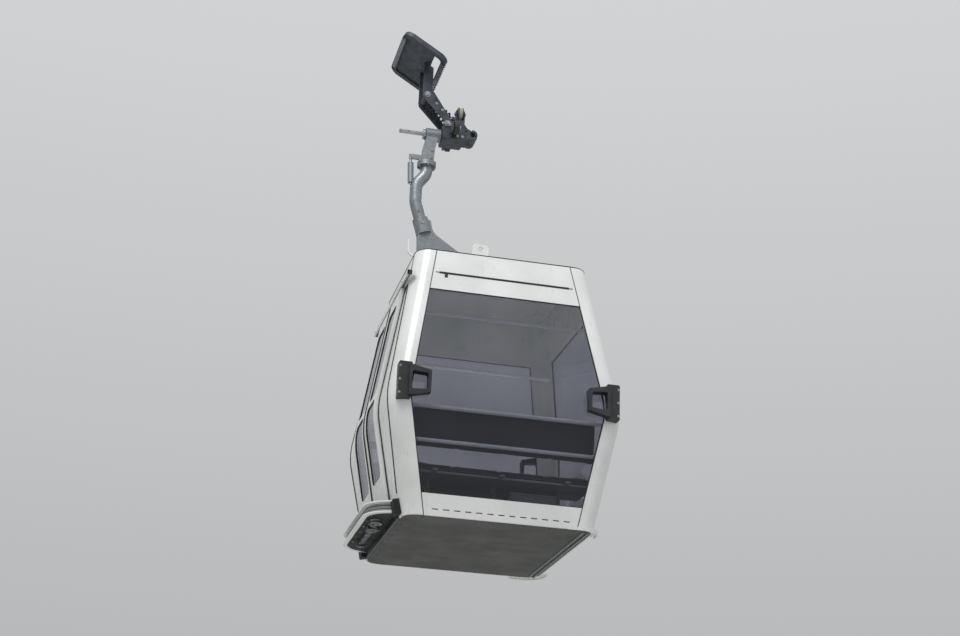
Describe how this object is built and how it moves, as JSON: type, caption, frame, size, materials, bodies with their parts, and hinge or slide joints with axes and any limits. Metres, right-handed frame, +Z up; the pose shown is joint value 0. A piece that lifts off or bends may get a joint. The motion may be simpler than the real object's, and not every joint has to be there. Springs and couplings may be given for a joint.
{
  "type": "cable car cabin with hanger and rope grip",
  "caption": "Enclosed gondola cabin with paired sliding doors, hung by a curved arm from a spring-closed grip that clamps a haul rope.",
  "frame": {"origin": "on the rope's axis, midway along the grip's jaws", "axes": "+X across the cabin away from the doors, +Y along the rope, +Z up"},
  "size_m": [2.059, 2.268, 4.7879],
  "materials": {
    "white_paint": "gloss off-white paint",
    "dark_floor": "matt grey paint",
    "tinted_glass": "dark tinted acrylic",
    "black_plastic": "moulded, matt",
    "galvanised": "hot-dip galvanised",
    "dark_steel": "dark grey paint",
    "bare_steel": "machined",
    "rubber": "moulded",
    "seat_fabric": "dark upholstery",
    "grey_plastic": "moulded grey",
    "spring_steel": "black coated",
    "step_black": "ribbed black"
  },
  "bodies": {
    "grip": {"grip_body": "dark_steel", "fixed_jaw": "dark_steel", "friction_plate": "dark_steel", "hanger_pin": "bare_steel", "jaw_springs": "spring_steel"},
    "lever": {"jaw_lever": "dark_steel"},
    "coupling_roller": {"coupling_roller": "black_plastic"},
    "running_wheel_front": {"running_wheel_front": "black_plastic"},
    "running_wheel_rear": {"running_wheel_rear": "black_plastic"},
    "door_front": {"door_leaf_front": "white_paint", "door_glass_front": "tinted_glass"},
    "door_rear": {"door_leaf_rear": "white_paint", "door_glass_rear": "tinted_glass"},
    "cabin": {"floor_pan": "dark_floor", "roof_shell": "white_paint", "roof_lugs": "white_paint", "contact_rod": "white_paint", "post_front_left": "white_paint", "post_front_right": "white_paint", "post_rear_left": "white_paint", "post_rear_right": "white_paint", "fascia_front": "white_paint", "fascia_rear": "white_paint", "sill_front": "white_paint", "sill_rear": "white_paint", "window_front": "tinted_glass", "window_rear": "tinted_glass", "window_right": "tinted_glass", "side_frame_right": "white_paint", "side_panel_left": "white_paint", "door_track": "white_paint", "door_guide": "white_paint", "door_step": "step_black", "door_drive": "dark_steel", "corner_handles": "black_plastic", "corner_lips": "white_paint", "seat_front": "seat_fabric", "seat_rear": "seat_fabric", "backrest_front": "seat_fabric", "backrest_rear": "seat_fabric", "bench_frame_front": "grey_plastic", "bench_frame_rear": "grey_plastic", "bench_legs_front": "grey_plastic", "bench_legs_rear": "grey_plastic", "grab_rails": "bare_steel", "equipment_box": "grey_plastic", "hanger_head": "galvanised", "hanger_arm": "galvanised", "hanger_yoke": "galvanised", "roof_frame": "galvanised", "suspension_bushes": "rubber"}
  },
  "joints": [
    {"name": "hanger_swing", "type": "hinge", "parent": "grip", "child": "cabin", "pos_m": [-0.36, 0, -0.015], "axis": [1, 0, 0], "range_deg": [-35, 35]},
    {"name": "jaw_open", "type": "hinge", "parent": "grip", "child": "lever", "pos_m": [-0.25, 0, 0.07], "axis": [0, -1, 0], "range_deg": [0, 14], "stiffness_Nm_per_rad": 2500, "springref_deg": -20.05, "deforming": ["jaw_springs"]},
    {"name": "coupling_roller_spin", "type": "hinge", "parent": "lever", "child": "coupling_roller", "pos_m": [-0.11, 0, 0.245], "axis": [1, 0, 0], "continuous": true},
    {"name": "running_wheel_front_spin", "type": "hinge", "parent": "grip", "child": "running_wheel_front", "pos_m": [-0.178, -0.182, 0], "axis": [1, 0, 0], "continuous": true},
    {"name": "running_wheel_rear_spin", "type": "hinge", "parent": "grip", "child": "running_wheel_rear", "pos_m": [-0.178, 0.182, 0], "axis": [1, 0, 0], "continuous": true},
    {"name": "door_slide_front", "type": "slide", "parent": "cabin", "child": "door_front", "axis": [0, -1, 0], "range_m": [0, 0.42]},
    {"name": "door_slide_rear", "type": "slide", "parent": "cabin", "child": "door_rear", "axis": [0, 1, 0], "range_m": [0, 0.42]}
  ],
  "couplings": [
    {"joint": "door_slide_rear", "follows": "door_slide_front", "ratio": 1}
  ]
}
